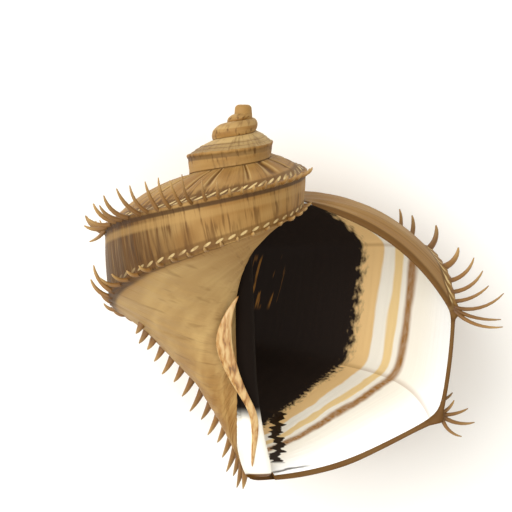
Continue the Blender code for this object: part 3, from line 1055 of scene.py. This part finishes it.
    def build_nub(self) -> bpy.types.Object:
        """Builds the blunt first whorl as a rounded stump on the apex."""
        Bench.deselect()
        centre = self.law.stand(np.array([0.0, 0.5 * self.nub_height, 0.0]), np.array(0.0))
        bpy.ops.mesh.primitive_cone_add(vertices=40, radius1=self.nub_radius, radius2=self.nub_top,
                                        depth=self.nub_height, location=tuple(centre),
                                        rotation=(-math.pi / 2.0, 0.0, 0.0))
        nub = bpy.context.object
        Bench.settle(nub)
        Bench.apply(nub, "BEVEL", width=self.nub_bevel, segments=8, limit_method="ANGLE")
        for layer in list(nub.data.uv_layers):
            nub.data.uv_layers.remove(layer)
        for title, spot in (("growth", (self.lengths[-1, 0], 0.5)), ("section", (-5.0, self.turns))):
            layer = nub.data.uv_layers.new(name=title)
            layer.data.foreach_set("uv", np.tile(spot, len(nub.data.loops)))
        return nub

    def build(self) -> bpy.types.Object:
        """Builds the whole shell, dressed."""
        skin, glaze, pillar_fill_glaze = HornySkin().make(), MouthGlaze().make(), PillarGlaze().make()
        outside = self.build_whorls()
        rim, lining, parietal = self.build_hollow()
        for panel in outside + [rim]:
            panel.data.materials.append(skin)
        for panel in (lining, parietal):
            panel.data.materials.append(glaze)
        # The filled faces get the pillar's glaze, with its painted shade.
        parietal.data.materials.append(pillar_fill_glaze)
        shell = Bench.join("coiled_shell", outside + [rim, lining, parietal])
        Bench.sew(shell, self.seam)
        nub = self.build_nub()
        nub.data.materials.append(skin)
        Bench.apply(shell, "BOOLEAN", object=nub, operation="UNION", solver="EXACT")
        bpy.data.objects.remove(nub, do_unlink=True)
        Bench.smooth(shell)
        Bench.register(shell)
        return shell


# The inner lip and the pillar


@dataclass(frozen=True)
class Station:
    """One ring of a strand, in millimetres: its left and right edge, drop, height and thickness."""

    left: float
    right: float
    drop: float
    height: float
    thick: float


@dataclass
class Strand:
    """A smooth strand along the pillar, drawn from ring to ring."""

    name: str
    stations: tuple[Station, ...]
    sides: int = 16

    def build(self, law: GrowthLaw, finish: bpy.types.Material) -> bpy.types.Object:
        """Extrudes a ring from station to station and smooths it.

        Args:
            law: the growth law, for the apex's place.
            finish: the material.

        Returns:
            The strand.
        """
        spots = [Vector(law.apex) + Vector(((at.left + at.right) / 2, -at.drop, at.height)) * MM
                 for at in self.stations]
        first = self.stations[0]
        Bench.deselect()
        bpy.ops.mesh.primitive_circle_add(vertices=self.sides, radius=0.5, fill_type="NGON",
                                          location=tuple(spots[0]), rotation=(math.pi / 2.0, 0.0, 0.0))
        strand = bpy.context.object
        strand.name = self.name
        strand.scale = ((first.right - first.left) * MM, first.thick * MM, 1.0)
        Bench.settle(strand)
        with Bench.edit(strand):
            bpy.ops.mesh.select_all(action="SELECT")
            pairs = zip(self.stations, self.stations[1:], spots, spots[1:])
            for before, after, start, end in pairs:
                bpy.ops.mesh.extrude_region_move(TRANSFORM_OT_translate={"value": tuple(end - start)})
                widen = (after.right - after.left) / (before.right - before.left)
                bpy.ops.transform.resize(value=(widen, 1.0, after.thick / before.thick),
                                         center_override=tuple(end))
            bpy.ops.mesh.select_all(action="SELECT")
            bpy.ops.mesh.normals_make_consistent(inside=False)
        Bench.apply(strand, "SUBSURF", levels=2, render_levels=2)
        strand.data.materials.append(finish)
        Bench.smooth(strand)
        Bench.register(strand)
        return strand


def make_inner_lip() -> Strand:
    """Returns the crescent of glaze from the body whorl along the pillar to the tip of the base."""
    return Strand("inner_lip", (
        Station(0.1, 0.3, 20.0, 2.6, 0.25),
        Station(-1.3, -0.5, 21.8, 2.9, 0.3),
        Station(-2.4, -0.6, 24.4, 2.3, 0.46),
        Station(-2.1, -0.3, 26.4, 1.9, 0.46),
        Station(-1.0, 0.4, 28.8, 1.4, 0.4),
        Station(0.2, 1.2, 30.8, 1.0, 0.34),
        Station(1.3, 2.2, 32.6, 0.5, 0.32),
        Station(1.6, 2.4, 34.6, -0.1, 0.34),
        Station(1.5, 2.0, 36.8, -0.75, 0.3),
        Station(1.5, 1.7, 38.8, -1.1, 0.2),
    ))


def make_pillar() -> Strand:
    """Returns the smooth pillar along the axis, inside the mouth."""
    return Strand("pillar", (
        Station(-0.3, 1.5, 12.0, 0.2, 1.8),
        Station(-0.4, 1.7, 18.0, -0.1, 2.0),
        Station(-0.3, 1.9, 24.0, -0.4, 2.1),
        Station(-0.2, 2.1, 30.0, -0.7, 2.2),
        Station(0.3, 2.8, 35.0, -1.4, 2.2),
        Station(0.5, 3.6, 38.2, -2.1, 2.1),
        Station(0.7, 3.8, 39.5, -2.5, 1.7),
        Station(1.2, 3.5, 40.0, -2.9, 0.9),
    ))


# The fringes


class FringeLine(Enum):
    """The lines that carry bristles."""

    UPPER_KEEL = "upper_fringe"
    LOWER_KEEL = "lower_fringe"
    BASE = "base_fringe"


@dataclass(frozen=True)
class Bristle:
    """One bristle: its turn, length, droop away from the apex, curl toward it and half its width."""

    turn: float
    length: float
    droop: float
    curl: float
    half_width: float


@dataclass(frozen=True)
class Lead:
    """A bristle whose tip the picture shows. Its sizes are in millimetres.

    It has its turn, the tip's place right of the apex and below it as the camera sees them, its curl
    and half its width.
    """

    turn: float
    across: float
    down: float
    curl: float
    half_width: float


@dataclass
class Fringe:
    """A row of bristles along a line from one place of the section to another."""

    line: FringeLine
    start: Place
    end: Place
    first: float
    last: float
    gap: float
    open_gap: float
    half_width: float
    tip: float
    length: float
    mouth_extra: float
    mouth_reach: float
    front_share: float
    curl: float
    droop: float
    sweep: float
    root_depth: float
    leads: tuple[Lead, ...] = ()
    singles: tuple[Bristle, ...] = ()
    bare: tuple[tuple[float, float], ...] = ()
    front_from: float = 0.52
    front_turns: float = 0.1
    unevenness: float = 0.2
    golden: float = 0.618034
    lip_root_depth: float = 0.25 * MM
    lip_turns: float = 0.04
    rest_depth: float = 15.3 * MM
    sides: int = 7
    segments: int = 8

    def spread(self, law: GrowthLaw, keel_radius: float) -> list[Bristle]:
        """Spaces the bristles.

        Args:
            law: the growth law.
            keel_radius: the radius of the upper keel at the mouth.

        Returns:
            The leads, the single bristles, and others at even gaps outside the bare stretches.
        """
        result = [self.led(law, lead) for lead in self.leads] + list(self.singles)
        turn = self.first
        while turn < self.last:
            size = float(law.size(np.array(turn)))
            front = float(smooth_step(np.array((turn - self.front_from) / self.front_turns)))
            length = self.length + self.mouth_extra * math.exp(-(turn / self.mouth_reach) ** 2)
            length *= 1.0 + (self.front_share - 1.0) * front
            length *= 1.0 - self.unevenness + 2.0 * self.unevenness * ((len(result) * self.golden) % 1.0)
            if not any(start < turn < end for start, end in self.bare):
                result.append(Bristle(turn, length, self.droop, self.curl, self.half_width))
            turn += max(self.gap, self.open_gap * size) / (2.0 * math.pi * keel_radius * size)
        return result

    def root(self, law: GrowthLaw, turn: float) -> Vector:
        """Returns the point at which a bristle stands."""
        share = float(smooth_step(np.array((turn - self.first) / (self.last - self.first))))
        place = np.array(self.start) + (np.array(self.end) - np.array(self.start)) * share
        return Vector(law.stand(law.grown(place, np.array(turn)), np.array(turn)))

    def led(self, law: GrowthLaw, lead: Lead) -> Bristle:
        """Works out the length and the droop of a bristle from the place of its tip.

        Args:
            law: the growth law.
            lead: the bristle's turn, tip, curl and width.

        Returns:
            The bristle, bent in the plane of its root and the axis.
        """
        root = self.root(law, lead.turn) - Vector(law.apex)
        outward = Vector((root.x, 0.0, root.z)).normalized()
        tilt = math.radians(VIEW_TILT)
        out = (lead.across * MM - root.x) / outward.x
        height = root.z + outward.z * out
        up = (height * math.sin(tilt) - lead.down * MM) / math.cos(tilt) - root.y
        chord_share = 2.0 * math.sin(lead.curl / 2.0) / lead.curl
        lean = math.atan2(up, out) - lead.curl / 2.0
        length = math.hypot(out, up) / chord_share
        return Bristle(lead.turn, length, -math.tan(lean), lead.curl, lead.half_width * MM)

    def model(self) -> bpy.types.Object:
        """Models one straight bristle, one unit long and wide, from a cone cut into rings."""
        Bench.deselect()
        bpy.ops.mesh.primitive_cone_add(vertices=self.sides, radius1=1.0, radius2=0.25, depth=1.0,
                                        location=(0.0, 0.0, 0.5), end_fill_type="TRIFAN")
        bristle = bpy.context.object
        Bench.settle(bristle)
        with Bench.edit(bristle):
            for ring in range(1, self.segments):
                bpy.ops.mesh.select_all(action="SELECT")
                bpy.ops.mesh.bisect(plane_co=(0.0, 0.0, ring / self.segments), plane_no=(0.0, 0.0, 1.0))
            bpy.ops.mesh.select_all(action="SELECT")
            bpy.ops.mesh.normals_make_consistent(inside=False)
        return bristle

    def bent(self, shape: np.ndarray, law: GrowthLaw, bristle: Bristle) -> np.ndarray:
        """Bends the straight bristle into its place, and off the floor.

        Args:
            shape: the points of the straight bristle.
            law: the growth law.
            bristle: where it stands and how it bends.

        Returns:
            The points of the bent bristle.
        """
        root = self.root(law, bristle.turn)
        length, curl = bristle.length, bristle.curl
        outward = Vector((root.x - law.apex[0], 0.0, root.z - law.apex[2])).normalized()
        backward = Vector((outward.z, 0.0, -outward.x))
        apexward = Vector((0.0, 1.0, 0.0))
        start = (outward + backward * self.sweep - apexward * bristle.droop).normalized()
        bend = (apexward - start * apexward.dot(start)).normalized()
        side = start.cross(bend)
        deeper = 1.0 - math.exp(-bristle.turn / self.lip_turns)
        depth = self.lip_root_depth + (self.root_depth - self.lip_root_depth) * deeper
        share = shape[:, 2:3] * (1.0 + depth / length) - depth / length
        arc = np.maximum(share, 0.0)
        under = np.minimum(share, 0.0) * length
        angle = curl * arc
        centre = (np.array(root) + np.array(start) * (length * np.sin(angle) / curl + under)
                  + np.array(bend) * (length * (1.0 - np.cos(angle)) / curl))
        centre[:, 2] = np.maximum(centre[:, 2], bristle.half_width)
        tangent_out = np.array(bend) * np.cos(angle) - np.array(start) * np.sin(angle)
        taper = (1.0 - (1.0 - self.tip) * arc) * (1.0 - 0.6 * arc ** 6)
        across = shape[:, 0:1] / np.maximum(1.0 - 0.75 * shape[:, 2:3], 0.25)
        deep = shape[:, 1:2] / np.maximum(1.0 - 0.75 * shape[:, 2:3], 0.25)
        return centre + (np.array(side) * across + tangent_out * deep) * taper * bristle.half_width

    def build(self, law: GrowthLaw, keel_radius: float, finish: bpy.types.Material) -> bpy.types.Object:
        """Copies the bristle along the line and joins the copies.

        Args:
            law: the growth law.
            keel_radius: the radius of the upper keel at the mouth.
            finish: the material.

        Returns:
            The fringe.
        """
        model = self.model()
        flat = np.empty(len(model.data.vertices) * 3)
        model.data.vertices.foreach_get("co", flat)
        shape = flat.reshape(-1, 3)
        model.data.uv_layers.new(name="bristle")
        corners = np.empty(len(model.data.loops), dtype=int)
        model.data.loops.foreach_get("vertex_index", corners)
        copies = []
        for index, bristle in enumerate(self.spread(law, keel_radius)):
            if self.root(law, bristle.turn).z - law.apex[2] <= -self.rest_depth:
                continue
            copy = bpy.data.objects.new("bristle", model.data.copy())
            bpy.context.scene.collection.objects.link(copy)
            copy.data.vertices.foreach_set("co", self.bent(shape, law, bristle).ravel())
            tone = (index * self.golden * 3.0) % 1.0
            values = np.stack([shape[corners, 2], np.full(len(corners), tone)], axis=-1)
            copy.data.uv_layers["bristle"].data.foreach_set("uv", values.ravel())
            copies.append(copy)
        bpy.data.objects.remove(model, do_unlink=True)
        fringe = Bench.join(self.line.value, copies)
        fringe.data.materials.append(finish)
        Bench.smooth(fringe)
        Bench.register(fringe)
        return fringe


def make_fringes(section: Section) -> list[Fringe]:
    """Returns the fringes of both keels and of the base."""
    upper_leads = (
        Lead(0.0, 28.4, 23.6, 0.9, 0.24),
        Lead(0.001, 28.2, 22.8, 0.6, 0.24),
        Lead(0.002, 28.5, 20.0, 1.1, 0.24),
        Lead(0.005, 26.9, 19.2, 0.8, 0.24),
        Lead(0.01, 26.3, 17.6, 1.1, 0.26),
        Lead(0.017, 25.4, 16.2, 1.2, 0.28),
        Lead(0.028, 23.8, 15.1, 1.3, 0.4),
        Lead(0.052, 21.5, 12.7, 1.2, 0.4),
        Lead(0.076, 19.0, 11.6, 0.9, 0.34),
        Lead(0.09, 17.7, 10.9, 0.9, 0.3),
        Lead(0.47, -15.7, 14.5, 0.9, 0.26),
        Lead(0.485, -16.2, 12.8, 1.2, 0.3),
        Lead(0.5, -15.8, 12.0, 1.2, 0.3),
        Lead(0.52, -15.1, 10.5, 1.2, 0.32),
        Lead(0.535, -14.4, 10.7, 1.2, 0.3),
        Lead(0.55, -13.9, 9.7, 1.2, 0.32),
        Lead(0.575, -12.5, 9.0, 0.8, 0.3),
        Lead(0.59, -11.1, 8.7, 1.0, 0.26),
        Lead(0.607, -9.5, 8.3, 0.5, 0.25),
        Lead(0.627, -8.1, 7.9, 1.0, 0.24),
        Lead(0.645, -6.9, 8.2, 0.5, 0.22),
    )
    lower_leads = (
        Lead(0.004, 23.3, 31.5, 0.8, 0.24),
        Lead(0.003, 24.8, 32.4, 0.6, 0.25),
        Lead(0.002, 25.5, 33.9, 0.9, 0.27),
        Lead(0.0, 24.1, 35.4, 1.2, 0.24),
        Lead(0.43, -14.6, 19.7, 1.0, 0.28),
        Lead(0.45, -15.6, 18.5, 1.0, 0.3),
        Lead(0.475, -15.2, 17.0, 1.0, 0.3),
    )
    toward_viewer = (
        Bristle(0.662, 4.1 * MM, -0.35, 1.2, 0.22 * MM),
        Bristle(0.684, 2.6 * MM, -0.6, 1.0, 0.22 * MM),
        Bristle(0.705, 2.2 * MM, -0.6, 1.0, 0.22 * MM),
    )
    return [
        Fringe(FringeLine.UPPER_KEEL, section.keel_1, section.keel_1, first=0.125, last=0.93, gap=1.2 * MM,
               open_gap=2.4 * MM, half_width=0.25 * MM, tip=0.55, length=3.0 * MM, mouth_extra=0.0,
               mouth_reach=0.05, front_share=0.45, curl=1.2, droop=0.0, sweep=0.0,
               root_depth=0.55 * MM, leads=upper_leads, singles=toward_viewer, bare=((0.462, 0.72),)),
        Fringe(FringeLine.LOWER_KEEL, section.keel_2, section.keel_2, first=0.02, last=0.96, gap=1.7 * MM,
               open_gap=3.4 * MM, half_width=0.26 * MM, tip=0.55, length=2.1 * MM, mouth_extra=0.8 * MM,
               mouth_reach=0.05, front_share=0.45, curl=1.1, droop=0.2, sweep=0.0,
               root_depth=0.3 * MM, leads=lower_leads, bare=((0.41, 0.5),)),
        Fringe(FringeLine.BASE, section.base[4], section.base[0], first=0.035, last=0.42, gap=2.4 * MM,
               open_gap=3.6 * MM, half_width=0.42 * MM, tip=0.35, length=0.4 * MM, mouth_extra=2.9 * MM,
               mouth_reach=0.36, front_share=1.0, curl=0.3, droop=2.6, sweep=0.6, root_depth=0.55 * MM),
    ]


# The studio


@dataclass
class Studio:
    """A pale floor, soft light from the upper left, and the camera above the mouth."""

    floor_size: float = 6.0
    target: tuple[float, float, float] = (2.02 * MM, -16.06 * MM, 0.0)
    tilt: float = VIEW_TILT
    lens: float = 300.0
    view_width: float = 54.3 * MM
    sensor: float = 36.0
    near: float = 0.01
    far: float = 20.0
    surrounding: Colour = shade("FFFDF8")
    surrounding_strength: float = 0.62

    def build_floor(self) -> None:
        """Lays the floor."""
        Bench.deselect()
        bpy.ops.mesh.primitive_plane_add(size=self.floor_size)
        floor = bpy.context.object
        floor.name = "floor"
        floor.data.materials.append(PaleFloor().make())

    def build_light(self, name: str, azimuth: float, elevation: float, size: float, power: float,
                    distance: float = 0.5) -> None:
        """Hangs a square soft light that points at the shell.

        Args:
            name: the light's name.
            azimuth: its direction round the shell, in degrees.
            elevation: its height above the floor, in degrees.
            size: its side.
            power: its power in watts.
            distance: its distance from the shell.
        """
        turn, rise = math.radians(azimuth), math.radians(elevation)
        spot = Vector((math.cos(turn) * math.cos(rise), math.sin(turn) * math.cos(rise), math.sin(rise)))
        bpy.ops.object.light_add(type="AREA", location=tuple(spot * distance))
        light = bpy.context.object
        light.name = name
        light.data.size = size
        light.data.energy = power
        light.rotation_euler = spot.to_track_quat("Z", "Y").to_euler()

    def build_world(self) -> None:
        """Sets a pale, even surrounding."""
        scene = bpy.context.scene
        world = scene.world or bpy.data.worlds.new("surrounding")
        scene.world = world
        world.use_nodes = True
        background = world.node_tree.nodes["Background"]
        background.inputs["Color"].default_value = self.surrounding
        background.inputs["Strength"].default_value = self.surrounding_strength
        scene.view_settings.view_transform = "Standard"

    def build_camera(self, law: GrowthLaw) -> None:
        """Puts the camera above the mouth, tilted a little toward the apex."""
        tilt = math.radians(self.tilt)
        back = Vector((0.0, math.sin(tilt), math.cos(tilt)))
        distance = self.view_width * self.lens / self.sensor
        target = Vector(law.apex) + Vector(self.target)
        bpy.ops.object.camera_add(location=tuple(target + back * distance), rotation=(-tilt, 0.0, 0.0))
        camera = bpy.context.object
        camera.name = "camera"
        camera.data.lens = self.lens
        camera.data.sensor_width = self.sensor
        camera.data.clip_start = self.near
        camera.data.clip_end = self.far
        camera.data.dof.use_dof = False
        bpy.context.scene.camera = camera

    def build(self, law: GrowthLaw) -> None:
        """Builds the studio."""
        self.build_floor()
        self.build_light("key_light", azimuth=148.0, elevation=48.0, size=0.5, power=2.6)
        self.build_light("fill_light", azimuth=-60.0, elevation=72.0, size=0.6, power=1.3)
        self.build_world()
        self.build_camera(law)


def main() -> None:
    """Loads the frame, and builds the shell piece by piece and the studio."""
    logging.basicConfig(level=logging.INFO, format="%(name)s: %(message)s")
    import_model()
    law, section = GrowthLaw(), Section()
    Coil(law, section).build()
    make_inner_lip().build(law, LipCallus().make())
    make_pillar().build(law, PillarGlaze().make())
    finish = BristleHorn().make()
    for fringe in make_fringes(section):
        fringe.build(law, section.keel_1[0], finish)
    Studio().build(law)


if __name__ == "__main__":
    main()
